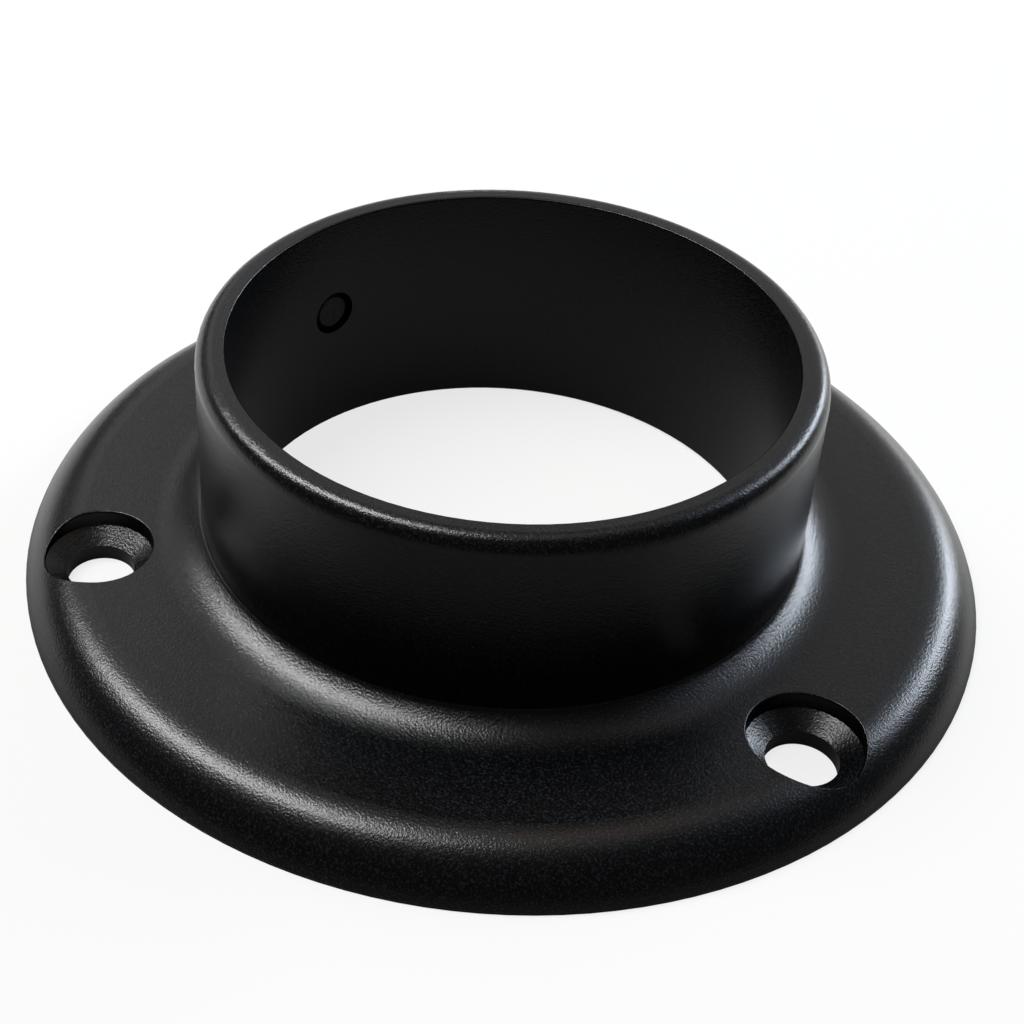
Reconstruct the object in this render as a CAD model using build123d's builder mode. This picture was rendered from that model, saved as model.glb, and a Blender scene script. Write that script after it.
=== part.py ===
from build123d import *
import os
from math import radians, sqrt, tan

# Tube clamp base flange: a round cast foot whose short collar takes the end of a round tube.
# Three screws fix the foot to a floor or a wall, and a set screw in the collar grips the tube.
# Millimetres. The origin is the centre of the seating face, +Z runs up the bore, +X points to a screw hole.

# Tube and collar
tube_diameter = 50.8  # a 2 in tube
tube_clearance = 0.2  # room all round the tube in the bore
collar_wall = 2.7
overall_height = 23.6
rim_round = 1.6  # outer edge of the collar's rim
rim_break = 0.2  # inner edge of the collar's rim
bore_foot_break = 0.3  # lower edge of the bore

# Foot, as wide as the root fillet, the counterbores and the metal beside them need
foot_thickness = 4.25
edge_roll_radius = 6.0  # arc that rolls the top face over to the outer edge
edge_land = 0.3  # upright band left under that arc
root_fillet = 4.4  # sweep from the foot up into the collar
counterbore_inner_land = 0.3  # between the root fillet and each counterbore
counterbore_outer_land = 2.0  # between each counterbore and the foot's outer edge

# Screw holes: a plain hole, a conical seat and a counterbore above it
screw_hole_count = 3
screw_hole_diameter = 6.3
counterbore_diameter = 10.0
counterbore_depth = 1.65
counterbore_break = 0.2  # upper edge of the counterbore
seat_angle = 120.0  # included angle of the cone between counterbore and hole

# Set screw, with a hexagon socket and a flat point
thread_diameter = 5.0
thread_pitch = 0.8
thread_clearance = 0.04  # between the plain cylinders that stand for the thread
set_screw_height = 13.3  # above the seating face
set_screw_length = 4.0
set_screw_recess = 0.25  # how far the point stands back from the bore
point_diameter = 3.2
socket_end_chamfer = 0.35
socket_across_flats = 2.5
socket_depth = 1.7
socket_drill_angle = 120.0  # included angle of the cone under the socket
tapped_hole_chamfer = 0.25  # outer mouth of the tapped hole

# Sizes that follow from those above
bore_radius = tube_diameter / 2 + tube_clearance
collar_radius = bore_radius + collar_wall
counterbore_radius = counterbore_diameter / 2
screw_circle_radius = collar_radius + root_fillet + counterbore_inner_land + counterbore_radius
foot_radius = screw_circle_radius + counterbore_radius + counterbore_outer_land
edge_roll_drop = foot_thickness - edge_land
edge_roll_reach = sqrt(edge_roll_radius**2 - (edge_roll_radius - edge_roll_drop) ** 2)
screw_hole_radius = screw_hole_diameter / 2
seat_height = foot_thickness - counterbore_depth
pitch_radius = (thread_diameter - 0.6495 * thread_pitch) / 2  # mid depth of a 60 degree thread
tapped_hole_radius = pitch_radius + thread_clearance
socket_radius = socket_across_flats / 2
socket_cone_depth = socket_radius / tan(radians(socket_drill_angle / 2))

# Planes across the set screw's axis, which runs out through the collar towards -X
point_x = -(bore_radius + set_screw_recess)
point_plane = Plane(origin=(point_x, 0, set_screw_height), x_dir=(0, 1, 0), z_dir=(-1, 0, 0))
collar_wall_plane = point_plane.offset(collar_wall - set_screw_recess)
socket_end_plane = point_plane.offset(set_screw_length)

# The casting: one revolved section with blended corners, and its machined holes
with BuildPart() as flange_body:
    with BuildSketch(Plane.XZ):
        with BuildLine():
            edge_roll_start = (foot_radius - edge_roll_reach, foot_thickness)
            edge_roll_end = (foot_radius, edge_land)
            Polyline((bore_radius, 0), (foot_radius, 0), edge_roll_end)
            RadiusArc(edge_roll_end, edge_roll_start, -edge_roll_radius)
            Polyline(
                edge_roll_start,
                (collar_radius, foot_thickness),
                (collar_radius, overall_height),
                (bore_radius, overall_height),
                (bore_radius, 0),
            )
        make_face()
    revolve(axis=Axis.Z)

    foot_top_edges = flange_body.edges().filter_by_position(Axis.Z, foot_thickness, foot_thickness)
    fillet(foot_top_edges.sort_by(SortBy.RADIUS)[0], root_fillet)
    fillet(flange_body.edges().group_by(Axis.Z)[-1].sort_by(SortBy.RADIUS)[-1], rim_round)
    chamfer(flange_body.edges().group_by(Axis.Z)[-1].sort_by(SortBy.RADIUS)[0], rim_break)
    chamfer(flange_body.edges().group_by(Axis.Z)[0].sort_by(SortBy.RADIUS)[0], bore_foot_break)

    # The outer side of each counterbore runs out over the rolled edge of the foot
    with Locations(Plane.XY.offset(seat_height)):
        with PolarLocations(screw_circle_radius, screw_hole_count):
            CounterSinkHole(screw_hole_radius, counterbore_radius, counter_sink_angle=seat_angle)
    cut_cylinders = flange_body.faces(Select.LAST).filter_by(GeomType.CYLINDER)
    counterbore_walls = cut_cylinders.filter_by(lambda wall: wall.center().Z > seat_height)
    wall_edges = counterbore_walls.edges().filter_by(GeomType.LINE, reverse=True)
    mouth_edges = wall_edges.filter_by(lambda edge: edge.center().Z > seat_height + counterbore_break)
    chamfer(mouth_edges, counterbore_break)

    # The tapped hole goes through one side of the collar only
    with Locations(collar_wall_plane):
        CounterSinkHole(
            tapped_hole_radius,
            tapped_hole_radius + tapped_hole_chamfer,
            depth=collar_radius,
            counter_sink_angle=90,
        )
flange_body.part.label = "flange_body"

# The set screw, standing in the tapped hole with its point just short of the bore
with BuildPart() as set_screw:
    with BuildSketch(point_plane):
        Circle(pitch_radius)
    extrude(amount=set_screw_length)
    chamfer(set_screw.edges().group_by(Axis.X)[-1], pitch_radius - point_diameter / 2)
    chamfer(set_screw.edges().group_by(Axis.X)[0], socket_end_chamfer)
    with BuildSketch(socket_end_plane):
        RegularPolygon(socket_radius, 6, major_radius=False)
    extrude(amount=-socket_depth, mode=Mode.SUBTRACT)
    with Locations(socket_end_plane.offset(-socket_depth)):
        Cone(
            bottom_radius=0,
            top_radius=socket_radius,
            height=socket_cone_depth,
            align=(Align.CENTER, Align.CENTER, Align.MAX),
            mode=Mode.SUBTRACT,
        )
set_screw.part.label = "set_screw"

os.makedirs("parts", exist_ok=True)
export_step(flange_body.part, "parts/flange_body.step")
export_step(set_screw.part, "parts/set_screw.step")
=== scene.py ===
"""Looks of the tube clamp base flange: its casting, its set screw, their finishes and the studio."""

import logging
import math
from collections.abc import Callable, Iterator
from contextlib import contextmanager
from dataclasses import dataclass
from enum import Enum
from typing import Any

import bmesh
import bpy
from mathutils import Matrix, Quaternion, Vector


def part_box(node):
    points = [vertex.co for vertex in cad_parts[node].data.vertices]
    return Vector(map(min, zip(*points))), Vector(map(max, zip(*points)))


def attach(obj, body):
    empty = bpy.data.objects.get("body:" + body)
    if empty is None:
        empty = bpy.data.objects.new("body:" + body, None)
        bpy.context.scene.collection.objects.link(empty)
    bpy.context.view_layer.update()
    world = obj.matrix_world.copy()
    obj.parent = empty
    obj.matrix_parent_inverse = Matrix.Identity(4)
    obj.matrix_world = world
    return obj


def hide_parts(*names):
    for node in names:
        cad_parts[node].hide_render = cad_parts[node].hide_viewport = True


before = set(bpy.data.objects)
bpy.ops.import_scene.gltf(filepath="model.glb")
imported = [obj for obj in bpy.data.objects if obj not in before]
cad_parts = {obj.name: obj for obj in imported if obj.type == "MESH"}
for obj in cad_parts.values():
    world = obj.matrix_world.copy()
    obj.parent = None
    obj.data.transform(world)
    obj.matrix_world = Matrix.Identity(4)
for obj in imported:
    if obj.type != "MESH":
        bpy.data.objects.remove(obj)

log = logging.getLogger("flange")

ROOT_BODY = "root"

TOUCHING = 1e-7  # metres between vertices that are one point
CLOSE = 1e-5  # metres within which a vertex counts as being at a place
SMOOTH_BELOW = math.radians(25.0)  # faces that meet at less than this shade as one surface


def mm(value: float) -> float:
    """Return a length in metres from one in millimetres."""
    return value / 1000.0


def linear(hex_code: str) -> tuple[float, float, float, float]:
    """Turn an sRGB hex colour into the linear RGBA that shader sockets take.

    Args:
        hex_code: six hexadecimal digits, with or without a leading hash.

    Returns:
        Red, green, blue and an alpha of 1.
    """
    digits = hex_code.lstrip("#")
    channels = [int(digits[i : i + 2], 16) / 255.0 for i in (0, 2, 4)]
    red, green, blue = [c / 12.92 if c <= 0.04045 else ((c + 0.055) / 1.055) ** 2.4 for c in channels]
    return red, green, blue, 1.0


def add_node(
    tree: bpy.types.NodeTree,
    kind: str,
    settings: dict[str | int, Any] | None = None,
    links: dict[str | int, bpy.types.NodeSocket] | None = None,
) -> bpy.types.Node:
    """Add one shader node, set it and link its inputs.

    Args:
        tree: the node tree that takes it.
        kind: the node's Blender type, such as "ShaderNodeBump".
        settings: values by name or number. A name that is a property sets it, and any other key sets the
            input socket of that name or number.
        links: the output socket that feeds each input, by the input's name or number.

    Returns:
        The new node.
    """
    node = tree.nodes.new(kind)
    for name, value in (settings or {}).items():
        if isinstance(name, str) and hasattr(node, name):
            setattr(node, name, value)
        else:
            node.inputs[name].default_value = value
    for name, source in (links or {}).items():
        tree.links.new(source, node.inputs[name])
    return node


def new_material(name: str) -> bpy.types.Material:
    """Make an empty node material.

    Args:
        name: the material's name.

    Returns:
        The material, with no nodes.
    """
    material = bpy.data.materials.new(name)
    material.use_nodes = True
    material.node_tree.nodes.clear()
    return material


def dress(piece: bpy.types.Object, material: bpy.types.Material) -> None:
    """Give every face of a piece one material.

    Args:
        piece: the mesh object.
        material: its finish.
    """
    if not piece.material_slots:
        piece.data.materials.append(material)
    for slot in piece.material_slots:
        slot.material = material


def seen_directly(tree: bpy.types.NodeTree) -> bpy.types.NodeSocket:
    """Tell the camera's own rays from those that light the scene.

    Args:
        tree: the node tree that asks.

    Returns:
        A socket that is 1 for what the camera sees straight or through something clear, and 0 otherwise.
    """
    ray = add_node(tree, "ShaderNodeLightPath")
    clear = add_node(
        tree,
        "ShaderNodeMath",
        {"operation": "MAXIMUM"},
        {0: ray.outputs["Is Camera Ray"], 1: ray.outputs["Is Transmission Ray"]},
    )
    return clear.outputs[0]


# ----------------------------------------------------------------------------- modelling


@contextmanager
def edit_mode(piece: bpy.types.Object) -> Iterator[None]:
    """Open a piece in edit mode, by itself and with nothing selected.

    Args:
        piece: the mesh object to edit.

    Yields:
        Nothing. Edit mode is left when the block ends.
    """
    bpy.ops.object.select_all(action="DESELECT")
    piece.select_set(True)
    bpy.context.view_layer.objects.active = piece
    bpy.ops.object.mode_set(mode="EDIT")
    bpy.ops.mesh.select_all(action="DESELECT")
    yield
    bpy.ops.object.mode_set(mode="OBJECT")


def select_points(piece: bpy.types.Object, chosen: Callable[[Vector], bool]) -> None:
    """Select the vertices of a piece in edit mode by their place, and no others.

    Args:
        piece: the piece that is in edit mode.
        chosen: says of a vertex's place whether it is selected.
    """
    bpy.ops.mesh.select_mode(type="VERT")
    mesh = bmesh.from_edit_mesh(piece.data)
    for vertex in mesh.verts:
        vertex.select_set(chosen(vertex.co))
    mesh.select_flush(True)
    bmesh.update_edit_mesh(piece.data)


def apply_modifier(piece: bpy.types.Object, kind: str, **settings: Any) -> None:
    """Add a modifier to a piece, set it and apply it.

    Args:
        piece: the piece that it shapes.
        kind: the modifier's Blender type, such as "SCREW".
        **settings: the modifier's properties by name.
    """
    bpy.ops.object.select_all(action="DESELECT")
    piece.select_set(True)
    bpy.context.view_layer.objects.active = piece
    modifier = piece.modifiers.new(kind.lower(), kind)
    for name, value in settings.items():
        setattr(modifier, name, value)
    bpy.ops.object.modifier_apply(modifier=modifier.name)


class Cut(Enum):
    """What a boolean keeps of a piece: the part inside the tool, or the part outside it."""

    KEEP_INSIDE = "INTERSECT"
    TAKE_AWAY = "DIFFERENCE"


def cut(piece: bpy.types.Object, tool: bpy.types.Object, kind: Cut) -> None:
    """Cut a piece with another closed mesh, which is used up.

    Args:
        piece: the piece that stays.
        tool: the closed mesh that cuts it.
        kind: what stays of the piece.
    """
    apply_modifier(piece, "BOOLEAN", object=tool, operation=kind.value, solver="EXACT")
    bpy.data.objects.remove(tool, do_unlink=True)


# ----------------------------------------------------------------------------- finishes


@dataclass(frozen=True)
class PowderCoat:
    """Satin black polyester powder, sprayed on a casting and baked.

    The powder melts and flows without levelling fully, so it leaves a fine peel: grains a fifth of a
    millimetre apart, whose bumps break a highlight into short flecks. Their tops are painted lighter, as
    painted glints, and the pits between them darker, as painted shade. Low swells a few grains apart
    follow the cast skin below.
    """

    name: str = "satin_black_powder_coat"
    # Painted shade and painted glints: the peel's pits are coloured darker and its tops lighter, to stand
    # for how light falls on the grain.
    pit_painted_shade_colour: str = "020203"
    top_painted_glint_colour: str = "212428"
    roughness: float = 0.24
    ior: float = 1.45
    peel_mm: float = 0.2
    peel_depth_mm: float = 0.034
    painted_shade_level: float = 0.5
    painted_glint_level: float = 0.72
    swell_mm: float = 1.6
    swell_depth_mm: float = 0.006

    def build(self) -> bpy.types.Material:
        """Make the material.

        Returns:
            A material whose bump reads Object coordinates in metres.
        """
        material = new_material(self.name)
        tree = material.node_tree
        place = add_node(tree, "ShaderNodeTexCoord").outputs["Object"]
        peel = add_node(
            tree,
            "ShaderNodeTexNoise",
            {"Scale": 1 / mm(self.peel_mm), "Detail": 2.0, "Roughness": 0.55},
            {"Vector": place},
        )
        swell = add_node(
            tree, "ShaderNodeTexNoise", {"Scale": 1 / mm(self.swell_mm), "Detail": 1.0}, {"Vector": place}
        )
        low = add_node(
            tree,
            "ShaderNodeBump",
            {"Distance": mm(self.swell_depth_mm)},
            {"Height": swell.outputs["Fac"]},
        )
        fine = add_node(
            tree,
            "ShaderNodeBump",
            {"Distance": mm(self.peel_depth_mm)},
            {"Height": peel.outputs["Fac"], "Normal": low.outputs["Normal"]},
        )
        # Painted glints and painted shade: the colour follows the peel's height, lighter on the tops and
        # darker in the pits.
        tops = add_node(
            tree,
            "ShaderNodeMapRange",
            {"From Min": self.painted_shade_level, "From Max": self.painted_glint_level},
            {"Value": peel.outputs["Fac"]},
        )
        colour = add_node(
            tree,
            "ShaderNodeMix",
            {"data_type": "RGBA", 6: linear(self.pit_painted_shade_colour), 7: linear(self.top_painted_glint_colour)},
            {"Factor": tops.outputs["Result"]},
        )
        shader = add_node(
            tree,
            "ShaderNodeBsdfPrincipled",
            {"Roughness": self.roughness, "IOR": self.ior},
            {"Base Color": colour.outputs[2], "Normal": fine.outputs["Normal"]},
        )
        add_node(tree, "ShaderNodeOutputMaterial", links={"Surface": shader.outputs["BSDF"]})
        return material


@dataclass(frozen=True)
class BlackOxideSteel:
    """Hardened steel with a black oxide skin, as on a bought set screw: dark, faintly oily and metallic.

    The oxide lies in cloudy patches. Where it holds oil it is darker and glossier. The heat-treated skin
    below it is finely pitted.
    """

    name: str = "black_oxide_steel"
    oiled_colour: str = "1C1C1E"
    dry_colour: str = "38383B"
    oiled_roughness: float = 0.3
    dry_roughness: float = 0.46
    metallic: float = 0.6
    patch_mm: float = 0.45
    patch_levels: tuple[float, float] = (0.35, 0.65)
    pit_mm: float = 0.09
    pit_depth_mm: float = 0.006

    def build(self) -> bpy.types.Material:
        """Make the material.

        Returns:
            A material whose pattern reads Object coordinates in metres.
        """
        material = new_material(self.name)
        tree = material.node_tree
        place = add_node(tree, "ShaderNodeTexCoord").outputs["Object"]
        patches = add_node(
            tree, "ShaderNodeTexNoise", {"Scale": 1 / mm(self.patch_mm), "Detail": 3.0}, {"Vector": place}
        )
        pits = add_node(
            tree, "ShaderNodeTexNoise", {"Scale": 1 / mm(self.pit_mm), "Detail": 1.0}, {"Vector": place}
        )
        dryness = add_node(
            tree,
            "ShaderNodeMapRange",
            {"From Min": self.patch_levels[0], "From Max": self.patch_levels[1]},
            {"Value": patches.outputs["Fac"]},
        )
        roughness = add_node(
            tree,
            "ShaderNodeMapRange",
            {"To Min": self.oiled_roughness, "To Max": self.dry_roughness},
            {"Value": dryness.outputs["Result"]},
        )
        colour = add_node(
            tree,
            "ShaderNodeMix",
            {"data_type": "RGBA", 6: linear(self.oiled_colour), 7: linear(self.dry_colour)},
            {"Factor": dryness.outputs["Result"]},
        )
        pitting = add_node(
            tree,
            "ShaderNodeBump",
            {"Distance": mm(self.pit_depth_mm)},
            {"Height": pits.outputs["Fac"]},
        )
        shader = add_node(
            tree,
            "ShaderNodeBsdfPrincipled",
            {"Metallic": self.metallic},
            {
                "Base Color": colour.outputs[2],
                "Roughness": roughness.outputs["Result"],
                "Normal": pitting.outputs["Normal"],
            },
        )
        add_node(tree, "ShaderNodeOutputMaterial", links={"Surface": shader.outputs["BSDF"]})
        return material


# ----------------------------------------------------------------------------- casting


@dataclass
class FlangeCasting:
    """The cast foot and collar, with the flared root that the real casting has.

    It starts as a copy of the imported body. The round root between collar and foot becomes a wide, low
    flare that meets the collar in a tight corner, as where a turned collar runs down into a cast foot.
    The broken edges are where faces lean between the two limits of break_upness, which is the upward part
    of a face's normal. All sizes are in metres.
    """

    node: str = "flange_body"
    collar_radius: float = mm(28.3)
    foot_top: float = mm(4.25)
    round_radius: float = mm(4.4)
    flare_radius: float = mm(7.5)
    flare_deg: float = 34.0
    corner_radius: float = mm(0.5)
    nearness: float = mm(0.012)
    bore_radius: float = mm(25.6)
    rim_height: float = mm(23.6)
    edge_break: float = mm(0.2)
    break_spread: float = 1.6
    break_upness: tuple[float, float] = (0.2, 0.98)
    inward_limit: float = -0.001
    hole_circle_radius: float = mm(38.0)
    hole_count: int = 3
    recess_radius: float = mm(5.0)
    recess_floor: float = mm(2.6)

    @property
    def break_width(self) -> float:
        """Return the widest that a broken edge spreads to."""
        return self.edge_break * self.break_spread

    def is_rim_break(self, places: list[Vector]) -> bool:
        """Say whether a sloping face is part of the bore's broken upper rim.

        Args:
            places: the face's corners.

        Returns:
            True on the rim.
        """
        lowest = self.rim_height - self.break_width
        widest = self.bore_radius + self.break_width
        return all(place.z > lowest and math.hypot(place.x, place.y) < widest for place in places)

    def is_mouth_break(self, places: list[Vector]) -> bool:
        """Say whether a sloping face is part of the broken mouth of a screw hole's recess.

        Args:
            places: the face's corners.

        Returns:
            True at any of the mouths.
        """
        if min(place.z for place in places) <= self.recess_floor + self.edge_break / 2:
            return False
        for number in range(self.hole_count):
            around = 2 * math.pi * number / self.hole_count
            hole_x = self.hole_circle_radius * math.cos(around)
            hole_y = self.hole_circle_radius * math.sin(around)
            reaches = [math.hypot(place.x - hole_x, place.y - hole_y) for place in places]
            beyond_wall = min(reaches) > self.recess_radius - self.nearness
            if beyond_wall and max(reaches) < self.recess_radius + self.break_width:
                return True
        return False

    def is_edge_break(self, places: list[Vector], normal: Vector) -> bool:
        """Say whether a face is part of a broken edge: the bore's upper rim or a screw recess's mouth.

        Args:
            places: the face's corners.
            normal: the direction it faces.

        Returns:
            True on a broken edge.
        """
        steepest, flattest = self.break_upness
        if not steepest < normal.z < flattest:
            return False
        return self.is_rim_break(places) or self.is_mouth_break(places)

    def round_edge_breaks(self, mesh: bpy.types.Mesh, normals: list[Vector]) -> None:
        """Shade each broken edge as a small rounding, which is how powder flows over it.

        Args:
            mesh: the casting's mesh, before its doubles are merged.
            normals: the normal of each face corner, changed in place.
        """
        breaks = set()
        beside: dict[tuple[int, int, int], Vector] = {}
        for face in mesh.polygons:
            if self.is_edge_break([mesh.vertices[v].co for v in face.vertices], face.normal):
                breaks.add(face.index)
        for face in mesh.polygons:
            if face.index in breaks:
                continue
            for corner in face.loop_indices:
                spot = self.spot(mesh.vertices[mesh.loops[corner].vertex_index].co)
                beside[spot] = beside.get(spot, Vector()) + normals[corner] * face.area
        for index in breaks:
            for corner in mesh.polygons[index].loop_indices:
                spot = self.spot(mesh.vertices[mesh.loops[corner].vertex_index].co)
                if spot in beside:
                    normals[corner] = beside[spot].normalized()

    @staticmethod
    def spot(place: Vector) -> tuple[int, int, int]:
        """Return a place rounded to a tenth of a micrometre, so that touching corners share it."""
        return tuple(round(value / TOUCHING) for value in place)

    def root_point(self, slope: float) -> tuple[float, float]:
        """Find the flared root's outline where its surface slopes by an angle.

        Args:
            slope: radians from level, 0 at the foot's top and a quarter turn at the collar's wall.

        Returns:
            The radius and the height there.
        """
        end = math.radians(self.flare_deg)
        corner_centre_radius = self.collar_radius + self.corner_radius
        centre_radius = corner_centre_radius + (self.flare_radius - self.corner_radius) * math.sin(end)
        centre_height = self.foot_top + self.flare_radius
        if slope <= end:
            return (
                centre_radius - self.flare_radius * math.sin(slope),
                centre_height - self.flare_radius * math.cos(slope),
            )
        corner_centre_height = centre_height - (self.flare_radius - self.corner_radius) * math.cos(end)
        return (
            corner_centre_radius - self.corner_radius * math.sin(slope),
            corner_centre_height - self.corner_radius * math.cos(slope),
        )

    def slope_on_round(self, place: Vector) -> float | None:
        """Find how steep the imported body's round root is at a place.

        Args:
            place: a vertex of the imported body.

        Returns:
            The slope in radians from level, or None off the round.
        """
        across = self.collar_radius + self.round_radius - math.hypot(place.x, place.y)
        down = self.foot_top + self.round_radius - place.z
        if across < -self.nearness or down < -self.nearness:
            return None
        if abs(math.hypot(across, down) - self.round_radius) > self.nearness:
            return None
        return min(max(math.atan2(across, down), 0.0), math.pi / 2)

    def shade_root(self, mesh: bpy.types.Mesh, slopes: list[float | None], normals: list[Vector]) -> None:
        """Turn the normals of the root's corners to its slopes, other than those that face the bore.

        Args:
            mesh: the casting's mesh.
            slopes: the slope at each vertex, or None off the root.
            normals: the normal of each face corner, changed in place.
        """
        for loop in mesh.loops:
            slope = slopes[loop.vertex_index]
            outward = mesh.vertices[loop.vertex_index].co.copy()
            outward.z = 0.0
            outward.normalize()
            if slope is not None and normals[loop.index].dot(outward) > self.inward_limit:
                normals[loop.index] = outward * math.sin(slope) + Vector((0.0, 0.0, math.cos(slope)))

    def flare_root(self, mesh: bpy.types.Mesh, slopes: list[float | None]) -> None:
        """Move the root's vertices from the round to the flare.

        Args:
            mesh: the casting's mesh.
            slopes: the slope at each vertex, or None off the root.
        """
        for vertex, slope in zip(mesh.vertices, slopes):
            if slope is not None:
                radius, height = self.root_point(slope)
                scale = radius / math.hypot(vertex.co.x, vertex.co.y)
                vertex.co = (vertex.co.x * scale, vertex.co.y * scale, height)

    def build(self) -> bpy.types.Object:
        """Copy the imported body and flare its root.

        Returns:
            The casting's object, a closed mesh that keeps the body's exact shading elsewhere.
        """
        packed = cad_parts[self.node]
        casting = bpy.data.objects.new("flange_casting", packed.data.copy())
        bpy.context.scene.collection.objects.link(casting)
        mesh = casting.data
        normals = [Vector(corner.vector) for corner in mesh.corner_normals]
        self.round_edge_breaks(mesh, normals)
        slopes = [self.slope_on_round(vertex.co) for vertex in mesh.vertices]
        self.shade_root(mesh, slopes, normals)
        self.flare_root(mesh, slopes)
        with edit_mode(casting):
            bpy.ops.mesh.select_all(action="SELECT")
            bpy.ops.mesh.remove_doubles(threshold=TOUCHING)
        if len(mesh.loops) == len(normals):
            mesh.normals_split_custom_set(normals)
        else:
            log.warning("casting: %d corners became %d", len(normals), len(mesh.loops))
            bpy.ops.object.shade_smooth_by_angle(angle=SMOOTH_BELOW)
        return casting

    def dress(self, casting: bpy.types.Object, material: bpy.types.Material) -> None:
        """Finish the casting and put it in the place of the CAD's.

        Args:
            casting: the object that build made.
            material: its finish.
        """
        dress(casting, material)
        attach(casting, ROOT_BODY)
        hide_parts(self.node)


# ----------------------------------------------------------------------------- set screw


@dataclass
class SetScrew:
    """An M5 socket set screw with a flat point, in the side of the collar.

    It is built upright, with its point at the origin and its socket on top, and then laid in the place of
    the CAD's plain screw. All sizes are in metres.
    """

    node: str = "set_screw"
    crest_radius: float = mm(2.5)
    pitch: float = mm(0.8)
    crest_flat: float = 1 / 8
    root_flat: float = 1 / 4
    point_radius: float = mm(1.6)
    socket_end_chamfer: float = mm(0.35)
    socket_across_flats: float = mm(2.5)
    socket_depth: float = mm(1.7)
    socket_overshoot: float = mm(0.5)
    floor_ledge: float = mm(0.12)
    floor_taper: float = mm(0.9)
    floor_point_deg: float = 120.0
    seam: float = mm(0.001)
    steps_per_turn: int = 64

    def __post_init__(self) -> None:
        """Read the screw's length and place from the frame."""
        low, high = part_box(self.node)
        self.length: float = high[0] - low[0]
        self.point: Vector = Vector((high[0], (low[1] + high[1]) / 2, (low[2] + high[2]) / 2))

    @property
    def flank_width(self) -> float:
        """Return how far one flank runs along the axis."""
        return self.pitch * (1 - self.crest_flat - self.root_flat) / 2

    @property
    def root_radius(self) -> float:
        """Return the thread's root radius, which its 60 degree flanks fix."""
        return self.crest_radius - self.flank_width / math.tan(math.radians(30.0))

    def threaded_rod(self) -> bpy.types.Object:
        """Make a rod of the screw's length with the thread along all of it.

        One pitch of the thread's outline is swept up a helix, whose turns join end to start. The helix
        starts a turn early and ends a turn late, and is cut off square.

        Returns:
            The rod's object, upright on the origin.
        """
        bpy.ops.object.select_all(action="DESELECT")
        half = self.pitch / 2
        centre = (self.root_radius - half, 0.0, half - self.pitch)
        bpy.ops.mesh.primitive_plane_add(size=self.pitch, location=centre, rotation=(math.pi / 2, 0.0, 0.0))
        rod = bpy.context.object
        rod.name = "socket_set_screw"
        bpy.ops.object.transform_apply(location=True, rotation=True, scale=True)
        with edit_mode(rod):
            select_points(rod, lambda place: place.x < self.root_radius - half)
            bpy.ops.mesh.delete(type="VERT")
            bpy.ops.mesh.select_all(action="SELECT")
            bpy.ops.mesh.subdivide(number_cuts=3)
            self.shape_outline(rod)
        turns = math.ceil(self.length / self.pitch) + 2
        apply_modifier(
            rod,
            "SCREW",
            axis="Z",
            screw_offset=self.pitch,
            iterations=turns,
            steps=self.steps_per_turn,
            render_steps=self.steps_per_turn,
            use_merge_vertices=False,
        )
        with edit_mode(rod):
            bpy.ops.mesh.select_all(action="SELECT")
            bpy.ops.mesh.remove_doubles(threshold=self.seam)
            self.cut_square(0.0, keep_above=True)
            self.cut_square(self.length, keep_above=False)
            bpy.ops.mesh.select_all(action="SELECT")
            bpy.ops.mesh.normals_make_consistent(inside=False)
        return rod

    @staticmethod
    def cut_square(height: float, keep_above: bool) -> None:
        """Cut the rod that is in edit mode level at a height, and close the cut.

        Args:
            height: where along the axis it is cut.
            keep_above: whether the part above the cut stays, or else the part below.
        """
        bpy.ops.mesh.select_all(action="SELECT")
        bpy.ops.mesh.bisect(
            plane_co=(0.0, 0.0, height),
            plane_no=(0.0, 0.0, 1.0),
            use_fill=True,
            clear_inner=keep_above,
            clear_outer=not keep_above,
            threshold=TOUCHING,
        )

    def shape_outline(self, rod: bpy.types.Object) -> None:
        """Give an upright edge of five points the thread's outline: up a flank, along the crest and down.

        Args:
            rod: the object in edit mode, whose edge stands a pitch below the origin.
        """
        rise = self.crest_radius - self.root_radius
        quarter = self.pitch / 4
        crest_start = self.flank_width
        crest_end = crest_start + self.crest_flat * self.pitch
        root_start = crest_end + self.flank_width
        outline = ((crest_start, rise), (crest_end, rise), (root_start, 0.0))
        for number, (height, out) in enumerate(outline, 1):
            now = number * quarter - self.pitch
            select_points(rod, lambda place, now=now: abs(place.z - now) < CLOSE)
            bpy.ops.transform.translate(value=(out, 0.0, height - number * quarter))

    def blank(self) -> bpy.types.Object:
        """Turn the bar that the thread is cut on, chamfered at both ends.

        Returns:
            The bar's object, upright on the origin.
        """
        bpy.ops.object.select_all(action="DESELECT")
        bpy.ops.mesh.primitive_cylinder_add(
            vertices=2 * self.steps_per_turn,
            radius=self.crest_radius,
            depth=self.length,
            location=(0.0, 0.0, self.length / 2),
        )
        bar = bpy.context.object
        bpy.ops.object.transform_apply(location=True, rotation=True, scale=True)
        chamfers = ((0.0, self.crest_radius - self.point_radius), (self.length, self.socket_end_chamfer))
        for end, chamfer in chamfers:
            with edit_mode(bar):
                select_points(bar, lambda place, end=end: abs(place.z - end) < CLOSE)
                bpy.ops.mesh.bevel(offset=chamfer, offset_type="OFFSET", segments=1, affect="EDGES")
        return bar

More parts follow.
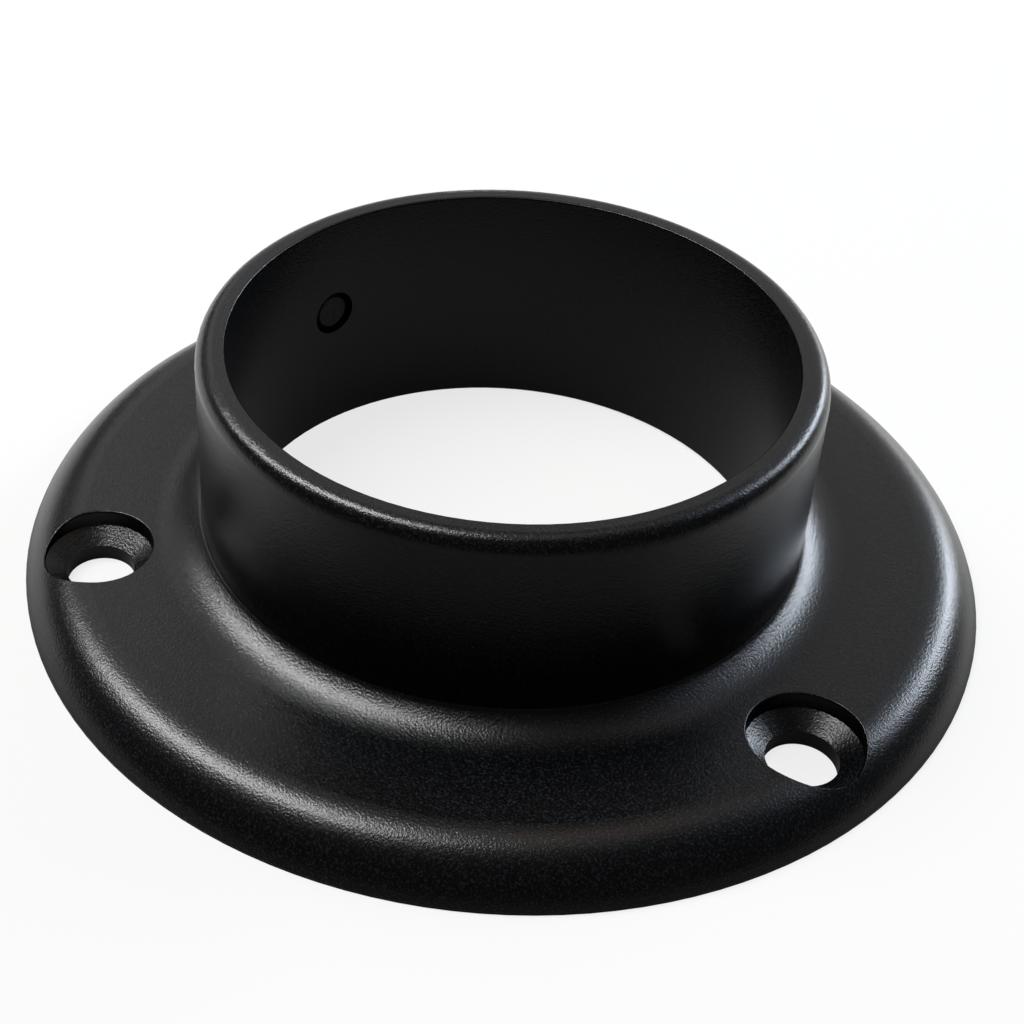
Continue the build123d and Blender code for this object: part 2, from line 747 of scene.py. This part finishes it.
    def socket(self) -> bpy.types.Object:
        """Make the hexagon that is cut for the key. Its floor rises to a low point in the middle.

        Returns:
            The hexagon's object, which stands a little out of the screw's end.
        """
        bpy.ops.object.select_all(action="DESELECT")
        floor_height = self.length - self.socket_depth
        height = self.socket_depth + self.socket_overshoot
        bpy.ops.mesh.primitive_cylinder_add(
            vertices=6,
            radius=self.socket_across_flats / math.sqrt(3.0),
            depth=height,
            location=(0.0, 0.0, floor_height + height / 2),
        )
        hexagon = bpy.context.object
        bpy.ops.object.transform_apply(location=True, rotation=True, scale=True)
        point_rise = self.socket_across_flats / 2 / math.tan(math.radians(self.floor_point_deg / 2))
        with edit_mode(hexagon):
            select_points(hexagon, lambda place: place.z < floor_height + CLOSE)
            bpy.ops.mesh.inset(thickness=self.floor_ledge)
            bpy.ops.mesh.inset(thickness=self.floor_taper, depth=-point_rise)
            bpy.ops.mesh.merge(type="CENTER")
        return hexagon

    def build(self) -> bpy.types.Object:
        """Model the screw and lay it in its hole.

        Returns:
            The screw's object.
        """
        screw = self.threaded_rod()
        cut(screw, self.blank(), Cut.KEEP_INSIDE)
        cut(screw, self.socket(), Cut.TAKE_AWAY)
        bpy.ops.object.select_all(action="DESELECT")
        screw.select_set(True)
        bpy.context.view_layer.objects.active = screw
        screw.rotation_euler = (0.0, -math.pi / 2, 0.0)
        screw.location = self.point
        bpy.ops.object.transform_apply(location=True, rotation=True, scale=True)
        bpy.ops.object.shade_smooth_by_angle(angle=SMOOTH_BELOW)
        return screw

    def dress(self, screw: bpy.types.Object, material: bpy.types.Material) -> None:
        """Finish the screw and put it in the place of the CAD's.

        Args:
            screw: the object that build made.
            material: its finish.
        """
        dress(screw, material)
        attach(screw, ROOT_BODY)
        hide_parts(self.node)


# ----------------------------------------------------------------------------- studio


@dataclass(frozen=True)
class Softbox:
    """A soft rectangular lamp that faces the object and is sized by the angle that it fills from there."""

    name: str
    azimuth_deg: float
    elevation_deg: float
    width_deg: float
    height_deg: float
    radiance: float
    turn_deg: float = 0.0
    colour: str = "FFFFFF"
    distance: float = 0.9

    def side(self, angle_deg: float) -> float:
        """Return the length in metres of a side that fills an angle."""
        return 2 * self.distance * math.tan(math.radians(angle_deg / 2))

    def build(self) -> None:
        """Hang the lamp, which lights the object and shows in its gloss but not to the camera."""
        around, up = math.radians(self.azimuth_deg), math.radians(self.elevation_deg)
        towards = Vector((math.cos(around) * math.cos(up), math.sin(around) * math.cos(up), math.sin(up)))
        lamp = bpy.data.lights.new(self.name, "AREA")
        lamp.shape = "RECTANGLE"
        lamp.size, lamp.size_y = self.side(self.width_deg), self.side(self.height_deg)
        lamp.energy = self.radiance * math.pi * lamp.size * lamp.size_y
        lamp.color = linear(self.colour)[:3]
        holder = bpy.data.objects.new(self.name, lamp)
        holder.location = towards * self.distance
        holder.rotation_mode = "QUATERNION"
        turn = Quaternion((0.0, 0.0, 1.0), math.radians(self.turn_deg))
        holder.rotation_quaternion = towards.to_track_quat("Z", "Y") @ turn
        holder.visible_camera = False
        bpy.context.scene.collection.objects.link(holder)


@dataclass
class Studio:
    """A white paper floor, soft lamps and a dim room.

    In the object's gloss the floor's glow rises from nothing, lit_from in front of the middle, to full,
    lit_to behind it. Inside the foot's outline only a share of it is left.
    """

    softboxes: tuple[Softbox, ...]
    floor_size: float = 6.0
    paper: str = "767675"
    camera_glow: float = 0.77
    gloss_glow: float = 0.8
    rearward: tuple[float, float, float] = (-0.766, 0.643, 0.0)
    lit_from: float = mm(45.0)
    lit_to: float = mm(10.0)
    foot_radius: float = mm(45.0)
    foot_edge_blur: float = 1.05
    inside_share: float = 0.11
    room: float = 0.06

    def gloss_share(self, tree: bpy.types.NodeTree) -> bpy.types.NodeSocket:
        """Work out how brightly each place of the floor shows in gloss.

        The lamps stand behind and beside the object, so the floor there is bright. The floor in front
        isn't, and little light reaches the floor in the bore and the screw holes.

        Args:
            tree: the node tree of the floor's material.

        Returns:
            A socket that runs from 0 to 1.
        """
        place = add_node(tree, "ShaderNodeTexCoord").outputs["Object"]
        behind = add_node(
            tree,
            "ShaderNodeVectorMath",
            {"operation": "DOT_PRODUCT", 1: self.rearward},
            {0: place},
        )
        depth = add_node(
            tree,
            "ShaderNodeMapRange",
            {"From Min": -self.lit_from, "From Max": self.lit_to},
            {"Value": behind.outputs["Value"]},
        )
        out = add_node(tree, "ShaderNodeVectorMath", {"operation": "LENGTH"}, {0: place})
        outside = add_node(
            tree,
            "ShaderNodeMapRange",
            {
                "From Min": self.foot_radius,
                "From Max": self.foot_radius * self.foot_edge_blur,
                "To Min": self.inside_share,
            },
            {"Value": out.outputs["Value"]},
        )
        return add_node(
            tree,
            "ShaderNodeMath",
            {"operation": "MULTIPLY"},
            {0: depth.outputs["Result"], 1: outside.outputs["Result"]},
        ).outputs[0]

    def floor_material(self) -> bpy.types.Material:
        """Make matt paper, lifted to white for the camera while it keeps the object's shadow.

        Returns:
            The floor's material.
        """
        material = new_material("white_paper")
        tree = material.node_tree
        ray = add_node(tree, "ShaderNodeLightPath")
        seen = add_node(
            tree, "ShaderNodeMath", {"operation": "MULTIPLY", 1: self.camera_glow}, {0: seen_directly(tree)}
        )
        mirrored = add_node(
            tree,
            "ShaderNodeMath",
            {"operation": "MULTIPLY"},
            {0: ray.outputs["Is Glossy Ray"], 1: self.gloss_share(tree)},
        )
        glow = add_node(
            tree,
            "ShaderNodeMath",
            {"operation": "MULTIPLY_ADD", 1: self.gloss_glow},
            {0: mirrored.outputs[0], 2: seen.outputs[0]},
        )
        paper = add_node(tree, "ShaderNodeBsdfDiffuse", {"Color": linear(self.paper)})
        lift = add_node(
            tree, "ShaderNodeEmission", {"Color": linear("FFFFFF")}, {"Strength": glow.outputs[0]}
        )
        both = add_node(tree, "ShaderNodeAddShader", links={0: paper.outputs[0], 1: lift.outputs[0]})
        add_node(tree, "ShaderNodeOutputMaterial", links={"Surface": both.outputs[0]})
        material.cycles.emission_sampling = "NONE"
        return material

    def build_floor(self) -> None:
        """Lay the floor at the height of the seating face."""
        bpy.ops.object.select_all(action="DESELECT")
        bpy.ops.mesh.primitive_plane_add(size=self.floor_size)
        floor = bpy.context.object
        floor.name = "floor"
        dress(floor, self.floor_material())

    def build_world(self) -> None:
        """Make the room white to the camera and dim to everything else."""
        world = bpy.data.worlds.new("studio")
        world.use_nodes = True
        tree = world.node_tree
        tree.nodes.clear()
        dim = add_node(tree, "ShaderNodeBackground", {"Color": linear("FFFFFF"), "Strength": self.room})
        white = add_node(tree, "ShaderNodeBackground", {"Color": linear("FFFFFF"), "Strength": 1.0})
        mix = add_node(
            tree,
            "ShaderNodeMixShader",
            links={0: seen_directly(tree), 1: dim.outputs[0], 2: white.outputs[0]},
        )
        add_node(tree, "ShaderNodeOutputWorld", links={"Surface": mix.outputs[0]})
        bpy.context.scene.world = world

    def build(self) -> None:
        """Set up the floor, the room and the lamps."""
        self.build_floor()
        self.build_world()
        for softbox in self.softboxes:
            softbox.build()
            log.info("lamp: %s", softbox.name)
        bpy.context.scene.view_settings.view_transform = "Standard"


@dataclass(frozen=True)
class ProductCamera:
    """A camera that looks down on the flange, with the set screw at its far side."""

    azimuth_deg: float = 49.962
    elevation_deg: float = 36.877
    roll_deg: float = 1.214
    distance: float = mm(184.143)
    aim_right: float = mm(-11.632)
    aim_up: float = mm(9.977)
    lens_mm: float = 66.946
    shift: tuple[float, float] = (0.1295, -0.073)
    clip: tuple[float, float] = (0.01, 50.0)

    def build(self) -> None:
        """Place the camera and make it the scene's."""
        around, up = math.radians(self.azimuth_deg), math.radians(self.elevation_deg)
        right = Vector((math.cos(around), math.sin(around), 0.0))
        ahead = Vector((-math.sin(around) * math.cos(up), math.cos(around) * math.cos(up), -math.sin(up)))
        above = right.cross(ahead)
        lens = bpy.data.cameras.new("product_camera")
        lens.lens = self.lens_mm
        lens.shift_x, lens.shift_y = self.shift
        lens.clip_start, lens.clip_end = self.clip
        camera = bpy.data.objects.new("product_camera", lens)
        camera.location = right * self.aim_right + above * self.aim_up - ahead * self.distance
        roll = math.radians(self.roll_deg)
        tilted_right = right * math.cos(roll) + above * math.sin(roll)
        tilted_above = above * math.cos(roll) - right * math.sin(roll)
        turn = Matrix((tilted_right, tilted_above, -ahead)).transposed()
        camera.rotation_mode = "QUATERNION"
        camera.rotation_quaternion = turn.to_quaternion()
        bpy.context.scene.collection.objects.link(camera)
        bpy.context.scene.camera = camera


# Each lamp's name, azimuth, elevation, width and height in degrees, and radiance
SOFTBOXES = (
    Softbox("left_key", 206.0, 61.0, 8.0, 40.0, 30.0, turn_deg=-14.0),
    Softbox("left_fill", 176.0, 42.0, 36.0, 30.0, 0.6),
    Softbox("right_key", 84.0, 24.0, 9.0, 34.0, 19.0, turn_deg=34.0, colour="E8F2FF"),
    Softbox("right_fill", 74.0, 46.0, 30.0, 22.0, 1.0, colour="DCE9FF"),
    Softbox("warm_ceiling", 104.0, 70.0, 24.0, 14.0, 0.7, colour="FFD8B8"),
    Softbox("back_panel", 132.0, 28.0, 56.0, 48.0, 0.5),
    Softbox("right_low_strip", 99.0, 3.0, 24.0, 6.0, 4.5),
    Softbox("left_low_strip", 190.0, 3.0, 50.0, 6.0, 1.3),
    Softbox("overhead", 132.0, 84.0, 32.0, 32.0, 0.3),
)


def main() -> None:
    """Dress the flange, make its set screw and set up the studio."""
    logging.basicConfig(level=logging.INFO, format="%(name)s: %(message)s")
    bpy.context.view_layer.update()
    coat = PowderCoat().build()
    steel = BlackOxideSteel().build()
    flange = FlangeCasting()
    casting = flange.build()
    flange.dress(casting, coat)
    log.info("casting: %d faces", len(casting.data.polygons))
    set_screw = SetScrew()
    screw = set_screw.build()
    set_screw.dress(screw, steel)
    log.info("set screw: %d faces, %.1f mm long", len(screw.data.polygons), set_screw.length / mm(1))
    Studio(softboxes=SOFTBOXES).build()
    ProductCamera().build()


if __name__ == "__main__":
    main()
